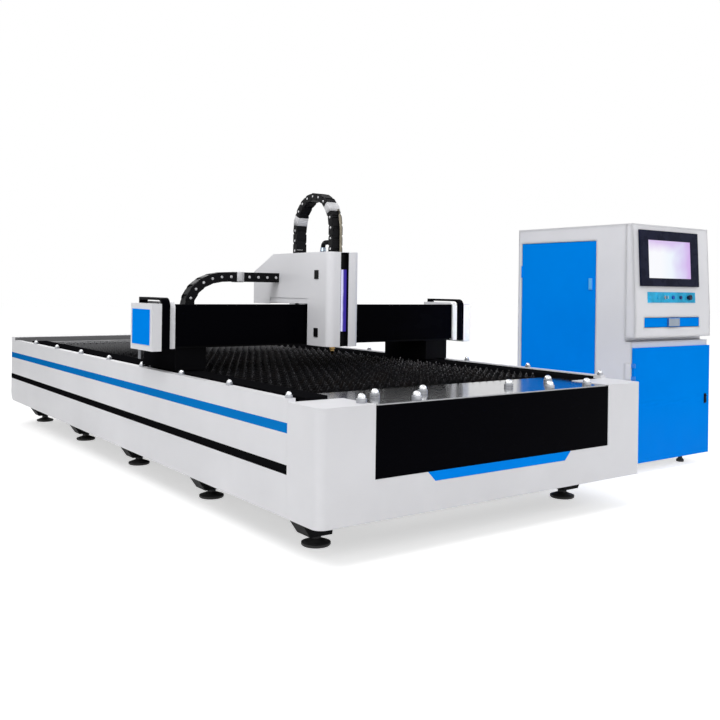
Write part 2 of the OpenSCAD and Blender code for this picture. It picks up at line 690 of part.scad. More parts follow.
// gantry
module gantry_beam() {
  color(DARK) union() {
    tube_x(-beam_x, beam_x, beam_y0, beam_y1, gf_z1, beam_z1, 10);
    along_x(-beam_x + 230, beam_x - 230)
      polygon([[beam_y1 - 1, gf_z1 + 45], [beam_y1 - 1, gf_z1 + 1], [beam_y1, gf_z1 + 1],
               [beam_y1, tray_z - 4],
               [beam_y1 + 95, tray_z - 4], [beam_y1 + 95, tray_z + 36], [beam_y1 + 92, tray_z + 36],
               [beam_y1 + 92, tray_z], [beam_y1 + 3, tray_z], [beam_y1 + 3, gf_z1 + 45]]);
  }
}
module tube_x(x0, x1, y0, y1, z0, z1, w) {
  difference() {
    bx([x0, y0, z0], [x1, y1, z1]);
    bx([x0 - 1, y0 + w, z0 + w], [x1 + 1, y1 - w, z1 - w]);
  }
}
module beam_cover() {
  y = gantry_y;
  color(BLACK) along_x(-beam_x, beam_x)
    polygon([[y, gf_z1 + 12], [beam_y0, gf_z1 + 12], [beam_y0, gf_z1 + 15], [y + 3, gf_z1 + 15],
             [y + 3, beam_z1 - 20], [beam_y0, beam_z1 - 20], [beam_y0, beam_z1 - 17], [y + 3, beam_z1 - 17],
             [y + 3, lip_z - 3], [beam_y0 - 4, lip_z - 3], [beam_y0 - 4, lip_z], [y + 4, lip_z],
             [y, lip_z - 4]]);
}
module end_plates() {
  color(WHITE) both() along_x(beam_x, plate_out)
    shoulder(end_y0 + 14, end_y1 - 5, gf_z1, lip_z + 12, 34);
}
module end_frames() {
  color(BLACK) both() along_x(plate_out, frame_out) difference() {
    shoulder(end_y0, end_y1, gf_z1, lip_z + 34, 44);
    shoulder(end_y0 + 14, end_y1 - 14, gf_z1 + 14, lip_z + 20, 30);
  }
}
module end_covers() {
  y0 = end_y0;
  y1 = end_y1 - 21;
  z0 = gf_z1 - 10;
  z1 = lip_z + 2;
  color(WHITE) both() difference() {
    bx([frame_out, y0, z0], [cover_out, y1, z1]);
    bx([frame_out - 1, y0 + 4, z0 + 4], [cover_out - 4, y1 - 4, z1 - 4]);
  }
}
module end_panels() {
  y0 = end_y0 + 32;
  y1 = end_y1 - 47;
  color(BLUE) both() bx([cover_out, y0, gf_z1 + 20], [badge_out, y1, lip_z - 28]);
}
module foot_outline() {
  z0 = rail_z + 40;
  polygon([[bw2 - 230, gf_z0], [bw2 - 79, gf_z0], [bw2 - 79, z0 + 14], [bw2 - 173, z0 + 14],
           [bw2 - 173, z0], [bw2 - 67, z0], [bw2 - 67, gf_z0], [bw2 - 55, gf_z0], [bw2 - 55, gf_z1],
           [bw2 - 230, gf_z1]]);
}
module gantry_feet() {
  color(BLACK) both() difference() {
    along_y(gf_y0, gf_y1) foot_outline();
    bx([bw2 - 180, gf_y1 - 90, rail_z], [bw2 - 60, gf_y1 + 1, gf_z0]);
    translate([pin_x, pin_y, gf_z0 - 1]) cylinder(r = 10 + c, h = foot_rise + 2);
  }
}
module block_outline(x, z) {
  difference() {
    translate([x - 35, z + 6]) square([70, 34]);
    translate([x - 12.5 - c, z]) square([25 + 2 * c, 22 + c]);
  }
}
module y_guide_blocks() {
  color(STEEL) both() for (y = [gf_y0 + 10, gf_y1 - 200]) along_y(y, y + 95) block_outline(rail_x, rail_z);
}
module y_motors() {
  color(BLACK) both() translate([pin_x, pin_y, gf_z1]) union() {
    bx([-30, -30, 0], [30, 30, 58]);
    bx([-36, -36, 57], [36, 36, 68]);
    bx([-34, -34, 67], [34, 34, 180]);
    bx([-30, -30, 179], [30, 30, 205]);
    bx([-24, 33, 90], [24, 50, 130]);
  }
}
module x_guide_rails() {
  color(STEEL) for (y = [xr_y0, xr_y1]) along_x(-beam_x + 5, beam_x - 5) rail_outline(y, beam_z1);
}
// pinion with involute flanks above its base circle
function inv_a(rb, r) = let (t = sqrt(max(0, r * r / rb / rb - 1))) t * 180 / PI - atan(t);
module pinion() {
  rb = gear_r * cos(20);
  half = 90 / gear_n - 0.25 + inv_a(rb, gear_r);
  root = gear_r - gear_ded;
  low = max(rb, root);
  radii = [for (k = [0 : 4]) low + k / 4 * (gear_r + gear_add - low)];
  pts = [for (i = [0 : gear_n - 1]) let (a = i * 360 / gear_n) each concat(
         [[root * cos(a - half), root * sin(a - half)]],
         [for (r = radii) let (b = a - half + inv_a(rb, r)) [r * cos(b), r * sin(b)]],
         [for (k = [4 : -1 : 0]) let (r = radii[k], b = a + half - inv_a(rb, r)) [r * cos(b), r * sin(b)]],
         [[root * cos(a + half), root * sin(a + half)]])];
  union() {
    translate([0, 0, rail_z + 4]) linear_extrude(26) polygon(pts);
    translate([0, 0, rail_z + 1]) cylinder(r = 10, h = gf_z1 - c - rail_z - 1);
  }
}
module y_pinion_left() {
  color(STEEL) translate([-pin_x, pin_y, 0]) rotate([0, 0, 180]) pinion();
}
module y_pinion_right() {
  color(STEEL) translate([pin_x, pin_y, 0]) pinion();
}

// carriage and head
module carriage_plate() {
  x0 = head_x - 88;
  x1 = head_x + 88;
  color([0.45, 0.46, 0.48]) union() {
    bx([x0, zplate_y, car_z], [x1, hy3 - 40, car_z + 18]);
    bx([x0, zplate_y, hz0 + 25], [x1, zplate_y + 20, head_top - 40]);
    for (x = [x0, x1 - 12]) along_x(x, x + 12)
      polygon([[zplate_y + 19, car_z + 17], [zplate_y + 220, car_z + 17], [zplate_y + 19, head_top - 60]]);
    for (y = [xr_y0, xr_y1], x = [x0, x1 - 80]) along_x(x, x + 80) difference() {
      translate([y - 32, beam_z1 + 6]) square([64, car_z - beam_z1 - 5]);
      translate([y - 12.5 - c, beam_z1]) square([25 + 2 * c, 22 + c]);
    }
  }
}
module head_side(k) {
  y = hy2 - (k > 0 ? 1 : 0);
  polygon([[hy0 + k, hz0 - k], [hy1 + k, hz0 - k], [hy1 + k, hz1 - k], [y, hz1 - k], [y, hz2 - k],
           [hy3 - k, hz2 - k], [hy3 - k, hz4 - k], [hy2 - 35 - k / 2, head_top - k],
           [hy0 + k, head_top - k]]);
}
module head_cover() {
  k = 3;
  color(WHITE) difference() {
    intersection() {
      along_x(head_x - hw2, head_x + hw2) head_side(0);
      translate([0, 0, hz0 - 1]) linear_extrude(head_top - hz0 + 2)
        front_round(head_x - hw2, head_x + hw2, hy0, hy3 + 1, head_r);
    }
    intersection() {
      along_x(head_x - hw2 + k, head_x + hw2 - k) head_side(k);
      translate([0, 0, hz0 - 5]) linear_extrude(head_top - hz0 + 2)
        front_round(head_x - hw2 + k, head_x + hw2 - k, hy0 + k, hy3 + 1, head_r - k);
    }
    bx([head_x - led_w / 2, hy0 - 1, hz0 - 1], [head_x + led_w / 2, hy0 + k + 1, head_top + 1]);
    bx([head_x - link_w / 2 - 8, zc_y - link_h / 2 - 8, head_top - 10],
       [head_x + link_w / 2 + 8, zc_y + link_h / 2 + 8, head_top + 1]);
  }
}
module head_latches() {
  color(BLACK) for (s = [-1, 1], z = [head_top - 127, hz0 + 76])
    translate([head_x + s * (hw2 + 2), hy0 + 127, z]) cube([4, 40, 50], center = true);
}
module led_channel() {
  w = led_w / 2 - c;
  y = hy0 + 3;
  color(BLACK) translate([head_x, 0, hz0]) linear_extrude(head_top - hz0 - 4)
    polygon([[-w - 10, y], [-w, y], [-w, hy0], [-w + 2, hy0], [-w + 2, led_y - 2], [w - 2, led_y - 2],
             [w - 2, hy0], [w, hy0], [w, y], [w + 10, y], [w + 10, y + 2], [w, y + 2], [w, led_y],
             [-w, led_y], [-w, y + 2], [-w - 10, y + 2]]);
}
module led_strip() {
  w = led_w / 2 - 6;
  color([0.75, 0.72, 1.0]) bx([head_x - w, led_y - 12, hz0 + 85], [head_x + w, led_y - 2, head_top - 98]);
}
module z_motor() {
  y = zplate_y;
  color(BLACK) union() {
    bx([head_x - 30, y - 58, head_top - 135], [head_x + 30, y, head_top - 50]);
    bx([head_x - 26, y - 54, head_top - 51], [head_x + 26, y - 4, head_top - 30]);
  }
}
module x_motor() {
  y = hy2 + 85;
  z = car_z + 18;
  color(BLACK) union() {
    bx([head_x - 40, y - 40, z], [head_x + 40, y + 40, z + 14]);
    bx([head_x - 37, y - 37, z + 13], [head_x + 37, y + 37, z + 110]);
    bx([head_x - 30, y - 30, z + 109], [head_x + 30, y + 30, z + 122]);
  }
}

// one drag chain link from pivot to pivot along +X, plates in X-Z, cross bars along Y
module link() {
  r = link_h / 2;
  w = link_w / 2;
  both_y() union() {
    translate([r + 0.5, w - 8, -r]) cube([link_p - 2 * r - 1, 8, 2 * r]);
    lug(0, w - 8, w - 4.2, 1);
    translate([0, w - 4.3, 0]) rotate([-90, 0, 0]) cylinder(r = 6, h = 5.1);
    difference() {
      lug(link_p, w - 3.8, w, -1);
      translate([link_p, w - 5, 0]) rotate([-90, 0, 0]) cylinder(r = 6 + c, h = 6);
    }
    for (z = [-r, r - 5]) {
      translate([r + 3, -1, z]) cube([link_p - 2 * r - 6, w - 6, 5]);
      translate([7, -1, z]) cube([link_p - 14, w - 7.5, 5]);
    }
    for (s = [-1, 1]) translate([-6.5, -1, s * (r - 6.9) - 2.1]) cube([16.5, w - 7.5, 4.2]);
  }
}
module both_y() {
  union() {
    children();
    mirror([0, 1, 0]) children();
  }
}
module lug(x, y0, y1, s) {
  r = link_h / 2;
  translate([x, y0, 0]) rotate([-90, 0, 0]) cylinder(r = r, h = y1 - y0);
  translate([s > 0 ? x : x - r - 1, y0, -r]) cube([r + 1, y1 - y0, 2 * r]);
}
module x_chain() {
  color(BLACK) translate([xc_x, tray_y, xc_z]) union() {
    for (i = [0 : len(xc_heads) - 1]) let (p = walk(xc_heads, i))
      translate([p[0], 0, p[1]]) rotate([0, -xc_heads[i], 0]) link();
    bx([-4, -link_w / 2, -link_h / 2], [head_x - hw2 - xc_x, link_w / 2, link_h / 2]);
  }
}
module z_chain() {
  color(BLACK) translate([head_x, zc_y, zc_z]) union() {
    for (i = [0 : len(zc_heads) - 1]) let (p = walk(zc_heads, i))
      translate([0, p[0], p[1]]) rotate([0, 0, 90]) rotate([0, -zc_heads[i], 0]) link();
    translate([0, zc_end[0], 0])
      bx([-link_w / 2, -link_h / 2, head_top - zc_z], [link_w / 2, link_h / 2, zc_end[1] + 4]);
  }
}
module cutting_head() {
  y1 = zplate_y - c;
  z0 = hz0 + 45;
  z1 = zc_z - 15;
  bw = link_w / 2 - 8.5;
  bd = link_h / 2 - 11;
  color([0.25, 0.26, 0.28]) union() {
    bx([head_x - 60, y1 - 18, z0 + 20], [head_x + 60, y1, z1 - 10]);
    bx([head_x - 34, tool_y, z0 + 60], [head_x + 34, y1 - 17, z1 - 40]);
    translate([head_x, tool_y, 0]) rotate_extrude()
      polygon([[0, hz0 - 4], [17, hz0 - 4], [24, hz0 + 20], [38, z0], [44, z0 + 6], [44, z0 + 90],
               [40, z0 + 96], [40, z1 - 60], [30, z1 - 50], [30, z1 - 16], [0, z1 - 16]]);
    bx([head_x - bw, zc_y - 16, z1 - 20], [head_x + bw, zc_y + 26, z1 - 8]);
    bx([head_x - bw, zc_y - bd, z1 - 9], [head_x + bw, zc_y + bd, zc_z + 12]);
  }
}
module nozzle() {
  color([0.78, 0.55, 0.25]) translate([head_x, tool_y, 0]) rotate_extrude()
    polygon([[1.5, hz0 - 52], [4, hz0 - 52], [13, hz0 - 30], [13, hz0 - 22], [17, hz0 - 18], [17, hz0 - 4],
             [1.5, hz0 - 4]]);
}

place() bed_frame();
place() side_panels();
place() blue_side_stripes();
place() black_side_stripes();
place() front_cover();
place() front_panel();
place() front_accent();
place() rear_cover();
place() deck_plates();
place() side_deck_strips();
place() rail_covers();
place() y_guide_rails();
place() y_racks();
place() slat_holders();
place() cutting_slats();
place() transfer_cups();
place() transfer_balls();
place() leveling_feet();
place() scrap_tray();
place() cabinet_shell();
place() console_housing();
place() screen_bezel();
place() screen();
place() button_plate();
place() key_switch();
place() start_button();
place() stop_button();
place() emergency_stop();
place() keyboard_drawer();
place() drawer_pull();
place() side_door();
place() side_door_latch();
place() front_door();
place() front_door_lock();
place() cabinet_feet();
place() laser_source();
place() electrics_panel();
place() gantry_beam();
place() beam_cover();
place() end_plates();
place() end_frames();
place() end_covers();
place() end_panels();
place() gantry_feet();
place() y_guide_blocks();
place() y_motors();
place() x_guide_rails();
place() y_pinion_left();
place() y_pinion_right();
place() carriage_plate();
place() head_cover();
place() head_latches();
place() led_channel();
place() led_strip();
place() z_motor();
place() x_motor();
place() x_chain();
place() z_chain();
place() cutting_head();
place() nozzle();
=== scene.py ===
"""Looks for a flat-bed laser cutting machine: finishes, studio light and small fittings.

All places are in metres in the frame of the CAD model. Places that follow the bed are worked out from
its centre line and front end, as the solids are. Colours are linear RGB.
"""
import json
import math

import bmesh
import bpy
from mathutils import Matrix, Vector


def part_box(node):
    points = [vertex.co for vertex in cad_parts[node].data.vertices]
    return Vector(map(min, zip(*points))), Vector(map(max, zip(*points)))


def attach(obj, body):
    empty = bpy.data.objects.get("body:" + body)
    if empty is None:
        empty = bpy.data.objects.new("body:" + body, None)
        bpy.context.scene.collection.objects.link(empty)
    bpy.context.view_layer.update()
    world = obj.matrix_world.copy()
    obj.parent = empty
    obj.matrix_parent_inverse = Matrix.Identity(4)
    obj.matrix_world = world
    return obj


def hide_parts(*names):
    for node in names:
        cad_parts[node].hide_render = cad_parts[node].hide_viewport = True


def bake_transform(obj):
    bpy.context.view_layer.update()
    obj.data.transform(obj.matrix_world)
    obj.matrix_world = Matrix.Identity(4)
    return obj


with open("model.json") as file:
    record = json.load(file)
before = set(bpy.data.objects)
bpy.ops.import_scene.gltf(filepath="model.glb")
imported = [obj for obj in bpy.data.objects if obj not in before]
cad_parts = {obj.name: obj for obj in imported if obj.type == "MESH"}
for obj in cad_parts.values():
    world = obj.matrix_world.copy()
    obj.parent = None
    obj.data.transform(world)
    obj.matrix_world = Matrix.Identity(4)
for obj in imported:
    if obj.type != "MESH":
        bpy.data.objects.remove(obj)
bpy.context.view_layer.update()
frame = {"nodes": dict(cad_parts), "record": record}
nodes = frame["nodes"]
record = frame["record"]


def box_of(name):
    """Lowest and highest corner of a CAD node as vectors."""
    low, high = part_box(name)
    return Vector(low), Vector(high)


# the bed's centre line and front end in the shared frame
bed_low, bed_high = box_of("front_cover")
BED_X = (bed_low.x + bed_high.x) / 2
BED_Y = bed_low.y


def at_bed(x, y, z):
    """A point given from the bed's centre line, front end and the floor."""
    return Vector((x + BED_X, y + BED_Y, z))


# finishes
# most of a noise texture lies between these two values
NOISE_LOW, NOISE_HIGH = 0.3, 0.7
# the middle of that range
PATCH_LOW, PATCH_HIGH = 0.35, 0.65
# dot product of the true and the rounded normal, on a flat face and on an edge
FLAT_DOT, EDGE_DOT = 0.995, 0.80


class Finish:
    """A material with one principled shader, fed by textures in object coordinates."""

    def __init__(self, name):
        self.material = bpy.data.materials.new(name)
        self.material.use_nodes = True
        self.tree = self.material.node_tree
        self.shader = self.tree.nodes["Principled BSDF"]
        self.place = self.node("ShaderNodeTexCoord").outputs["Object"]

    def put(self, socket, value):
        """A socket takes a link or a plain value."""
        if isinstance(value, bpy.types.NodeSocket):
            self.tree.links.new(value, socket)
        else:
            socket.default_value = value

    def node(self, kind, **inputs):
        made = self.tree.nodes.new(kind)
        for key, value in inputs.items():
            self.put(made.inputs[key.replace("_", " ")], value)
        return made

    def set(self, **inputs):
        for key, value in inputs.items():
            self.put(self.shader.inputs[key.replace("_", " ")], value)

    def noise(self, scale, detail=3.0, stretch=(1, 1, 1)):
        moved = self.node("ShaderNodeMapping", Vector=self.place, Scale=stretch).outputs[0]
        return self.node("ShaderNodeTexNoise", Vector=moved, Scale=scale, Detail=detail).outputs[0]

    def span(self, factor, from_low, from_high, to_low, to_high):
        """The factor's range laid over another range."""
        made = self.node("ShaderNodeMapRange", Value=factor, From_Min=from_low, From_Max=from_high,
                         To_Min=to_low, To_Max=to_high)
        return made.outputs[0]

    def mask(self, factor, low, high):
        """0 where the factor is low, 1 where it is high."""
        return self.span(factor, low, high, 0.0, 1.0)

    def spread(self, noise, low, high):
        """A noise that runs from a low to a high value."""
        return self.span(noise, NOISE_LOW, NOISE_HIGH, low, high)

    def patches(self, noise):
        """0 to 1 over the middle of a noise's range."""
        return self.mask(noise, PATCH_LOW, PATCH_HIGH)

    def math(self, operation, a, b):
        made = self.node("ShaderNodeMath")
        made.operation = operation
        self.put(made.inputs[0], a)
        self.put(made.inputs[1], b)
        return made.outputs[0]

    def mix(self, factor, a, b):
        made = self.tree.nodes.new("ShaderNodeMix")
        made.data_type = "RGBA"
        self.put(made.inputs["Factor"], factor)
        for socket, value in zip([s for s in made.inputs if s.type == "RGBA"], (a, b)):
            self.put(socket, value)
        return next(s for s in made.outputs if s.type == "RGBA")

    def axes(self):
        return self.node("ShaderNodeSeparateXYZ", Vector=self.place).outputs

    def facing(self):
        """The true normal of a face."""
        return self.node("ShaderNodeNewGeometry").outputs["Normal"]

    def edges(self, radius):
        """(normal rounded over the edges, mask that is 1 at an edge and 0 on the flats)"""
        rounded = self.node("ShaderNodeBevel", Radius=radius)
        rounded.samples = 4
        dot = self.node("ShaderNodeVectorMath")
        dot.operation = "DOT_PRODUCT"
        self.put(dot.inputs[0], rounded.outputs[0])
        self.put(dot.inputs[1], self.facing())
        return rounded.outputs[0], self.mask(dot.outputs["Value"], FLAT_DOT, EDGE_DOT)

    def bump(self, height, strength, distance, normal=None):
        made = self.node("ShaderNodeBump", Height=height, Strength=strength, Distance=distance)
        if normal is not None:
            self.put(made.inputs["Normal"], normal)
        self.set(Normal=made.outputs[0])


def rgba(colour, gain=1.0):
    return tuple(min(1.0, c * gain) for c in colour) + (1.0,)


# edges of bare metal and plastic, and the width of a sharp change of colour
EDGE_RADIUS = 0.0015
SHARP = 0.0005
# dust on paint is full below the first height and gone above the second
DUST_FULL, DUST_NONE = 0.10, 0.42
FLOOR_DUST = (0.42, 0.40, 0.38)
SETTLED_DUST = (0.5, 0.5, 0.5)
# colour of painted edges: partly wear, partly a painted highlight
WORN_PAINT_AND_HIGHLIGHT = (0.75, 0.75, 0.77)
WORN_METAL = (0.85, 0.86, 0.88)
WORN_PLASTIC = (0.35, 0.35, 0.36)


def paint(name, colour, rough=0.38, grain=900.0, depth=0.05, wear=0.10, shine=0.5, dust=0.10,
          soft=0.003, front=None):
    """Powder coat: faint cloudiness, fine orange peel, slightly paler edges (partly wear, partly a painted
    highlight) and dust low down.

    soft is the radius of the edges; front is a depth (Y) and the colour of what lies in front of it.
    """
    f = Finish(name)
    cloud = f.noise(scale=1.7, detail=4.0)
    tone = f.mix(f.patches(cloud), rgba(colour, 0.955), rgba(colour, 1.03))
    if front is not None:
        limit, front_colour = front
        tone = f.mix(f.span(f.axes()[1], limit, limit + SHARP, 1.0, 0.0), tone, rgba(front_colour))
    normal, edge = f.edges(soft)
    # paler edges: partly wear, partly a painted highlight
    worn = f.mix(f.math("MULTIPLY", edge, wear), tone, rgba(WORN_PAINT_AND_HIGHLIGHT))
    low = f.span(f.axes()[2], DUST_FULL, DUST_NONE, dust, 0.0)
    dusty = f.mix(f.math("MULTIPLY", low, f.noise(scale=9.0)), worn, rgba(FLOOR_DUST))
    smear = f.noise(scale=5.0, detail=5.0, stretch=(1.0, 0.4, 2.2))
    f.set(Base_Color=dusty, Roughness=f.spread(smear, rough - 0.06, rough + 0.08))
    f.set(Specular_IOR_Level=shine)
    f.bump(f.noise(grain, detail=2.0), depth, distance=0.0006, normal=normal)
    return f.material


def metal(name, colour, rough=0.28, stretch=(1, 60, 1), scale=22.0, wear=0.25, depth=0.06, dark=0.75):
    """Bare metal: brushed streaks, stains in patches, brighter edges."""
    f = Finish(name)
    streak = f.noise(scale, detail=4.0, stretch=stretch)
    patch = f.noise(scale=3.1, detail=5.0)
    tone = f.mix(f.spread(streak, 0.0, 1.0), rgba(colour, dark), rgba(colour, 1.08))
    stained = f.mix(f.span(patch, 0.5, 0.75, 0.0, 0.35), tone, rgba(colour, dark * 0.75))
    normal, edge = f.edges(EDGE_RADIUS)
    worn = f.mix(f.math("MULTIPLY", edge, wear), stained, rgba(WORN_METAL))
    f.set(Base_Color=worn, Metallic=1.0)
    f.set(Roughness=f.spread(streak, rough - 0.07, rough + 0.09))
    f.bump(streak, depth, distance=0.0005, normal=normal)
    return f.material


def plastic(name, colour, rough=0.5, grain=1400.0, depth=0.12, dust=0.06, shine=0.5):
    """Moulded plastic: fine spark texture and a little dust on upward faces."""
    f = Finish(name)
    mottle = f.noise(scale=14.0, detail=4.0)
    tone = f.mix(f.patches(mottle), rgba(colour, 0.85), rgba(colour, 1.2))
    normal, edge = f.edges(EDGE_RADIUS)
    upright = f.node("ShaderNodeSeparateXYZ", Vector=f.facing()).outputs[2]
    up = f.span(upright, 0.5, 1.0, 0.0, dust)
    dusty = f.mix(f.math("MULTIPLY", up, f.noise(scale=40.0, detail=5.0)), tone, rgba(SETTLED_DUST))
    f.set(Base_Color=f.mix(f.math("MULTIPLY", edge, 0.10), dusty, rgba(WORN_PLASTIC)))
    f.set(Roughness=f.spread(mottle, rough - 0.08, rough + 0.10), Specular_IOR_Level=shine)
    f.bump(f.noise(grain, detail=2.0), depth, distance=0.0004, normal=normal)
    return f.material


BLACK = (0.006, 0.006, 0.007)
MILL_DARK, MILL_PALE = (0.003, 0.003, 0.004), (0.009, 0.009, 0.010)
HEAT_TINT = (0.018, 0.012, 0.008)
# paler grey of the rear slats: a painted reflection
PAINTED_SHEEN_GREY = (0.20, 0.20, 0.205)
SPATTER_DULL, SPATTER_BRIGHT = (0.12, 0.12, 0.13), (0.55, 0.55, 0.57)
# spatter reaches this far below the slats' tips and is brighter towards the right;
# towards the rear the slats turn a paler grey, a painted reflection of their steel seen at a grazing angle
SLAT_TOP = box_of("cutting_slats")[1].z
SPATTER_H = 0.030
SHEEN_FROM, SHEEN_TO = BED_Y + 2.9, BED_Y + 3.8
BRIGHT_FROM, BRIGHT_TO = BED_X + 0.2, BED_X + 0.8


def scorched(name):
    """Slat steel: mill scale with heat tints, spatter at the tooth tips and a painted reflection towards
    the rear.
    """
    f = Finish(name)
    scale = f.noise(scale=18.0, detail=6.0)
    tone = f.mix(f.spread(scale, 0.0, 1.0), rgba(MILL_DARK), rgba(MILL_PALE))
    heat = f.span(f.noise(scale=6.0), 0.45, 0.7, 0.0, 0.35)
    tinted = f.mix(heat, tone, rgba(HEAT_TINT))
    tip = f.span(f.axes()[2], SLAT_TOP - SPATTER_H, SLAT_TOP, 0.0, 0.8)
    # painted reflection: the slats turn a paler grey towards the rear
    sheen = f.mask(f.axes()[1], SHEEN_FROM, SHEEN_TO)
    body = f.mix(sheen, tinted, rgba(PAINTED_SHEEN_GREY))
    spatter = f.math("MULTIPLY", tip, f.mask(f.noise(scale=160.0), 0.50, 0.66))
    right = f.mask(f.axes()[0], BRIGHT_FROM, BRIGHT_TO)
    bright = f.mix(right, rgba(SPATTER_DULL), rgba(SPATTER_BRIGHT))
    f.set(Base_Color=f.mix(spatter, body, bright), Specular_IOR_Level=0.05)
    f.set(Roughness=f.spread(scale, 0.42, 0.66))
    f.bump(f.noise(scale=240.0, detail=4.0), strength=0.25, distance=0.0008)
    return f.material


# strength and gloss of the two lit faces, and how far the noise shifts their tints
LIT = 0.95
LIT_GLOSS = 0.1
SCREEN_SHIFT, STRIP_SHIFT = 0.10, 0.03
SCREEN_OFF, STRIP_OFF = (0.02, 0.02, 0.03), (0.04, 0.03, 0.10)
SCREEN_WHITE, SCREEN_SKY, SCREEN_LILAC = (0.96, 0.97, 1.0), (0.78, 0.90, 1.0), (0.66, 0.46, 0.84)
STRIP_WHITE, STRIP_VIOLET = (0.72, 0.72, 0.95), (0.024, 0.012, 0.27)


def display(name):
    """Lit screen: near white in the middle, lilac along its upper and right edges."""
    f = Finish(name)
    low, high = box_of("screen")
    across = f.mask(f.axes()[0], low.x, high.x)
    up = f.mask(f.axes()[2], low.z, high.z)
    cloud = f.spread(f.noise(scale=5.0, detail=2.0), -SCREEN_SHIFT, SCREEN_SHIFT)
    right = f.mask(f.math("ADD", across, cloud), 0.58, 0.90)
    top = f.span(f.math("ADD", up, cloud), 0.64, 0.95, 0.0, 0.8)
    lilac = f.math("MAXIMUM", right, top)
    sky = f.mix(f.mask(across, 0.3, 0.8), rgba(SCREEN_WHITE), rgba(SCREEN_SKY))
    tint = f.mix(lilac, sky, rgba(SCREEN_LILAC))
    f.set(Base_Color=rgba(SCREEN_OFF), Roughness=f.span(cloud, -SCREEN_SHIFT, SCREEN_SHIFT, 0.10, 0.16))
    f.set(Emission_Color=tint, Emission_Strength=LIT, Specular_IOR_Level=LIT_GLOSS)
    f.bump(f.noise(scale=500.0, detail=1.0), strength=0.02, distance=0.0002)
    return f.material


def light_strip(name):
    """Lit diffuser: near white on its left half, violet-blue on its right."""
    f = Finish(name)
    low, high = box_of("led_strip")
    across = f.mask(f.axes()[0], low.x, high.x)
    wave = f.spread(f.noise(scale=26.0, detail=1.0, stretch=(0.2, 1.0, 1.0)), -STRIP_SHIFT, STRIP_SHIFT)
    violet = f.mask(f.math("ADD", across, wave), 0.36, 0.56)
    tint = f.mix(violet, rgba(STRIP_WHITE), rgba(STRIP_VIOLET))
    f.set(Base_Color=rgba(STRIP_OFF), Roughness=f.span(wave, -STRIP_SHIFT, STRIP_SHIFT, 0.30, 0.42))
    f.set(Emission_Color=tint, Emission_Strength=LIT, Specular_IOR_Level=LIT_GLOSS)
    f.bump(f.noise(scale=300.0, detail=1.0), strength=0.05, distance=0.0003)
    return f.material


RUBBER_PALE = (0.018, 0.018, 0.019)
RUBBER_DUST = (0.35, 0.34, 0.33)
# dust on the pads fades out at this height
PAD_DUST_H = 0.05


def rubber(name):
    """Black pads: matte, dusty towards the floor."""
    f = Finish(name)
    mottle = f.noise(scale=30.0, detail=5.0)
    dust = f.math("MULTIPLY", f.span(f.axes()[2], 0.0, PAD_DUST_H, 0.25, 0.0), mottle)
    tone = f.mix(f.spread(mottle, 0.0, 1.0), rgba(BLACK), rgba(RUBBER_PALE))
    f.set(Base_Color=f.mix(dust, tone, rgba(RUBBER_DUST)))
    f.set(Roughness=f.spread(mottle, 0.55, 0.75))
    f.bump(f.noise(scale=260.0), strength=0.2, distance=0.0008)
    return f.material


WHITE = (0.79, 0.79, 0.82)
# the same white paint, made paler: painted light on the cutting head's cover and the cabinet
WHITE_WITH_PAINTED_LIGHT = (0.87, 0.87, 0.905)
BLUE = (0.0, 0.275, 1.0)
REAR_FRONT_GREY = (0.17, 0.17, 0.175)
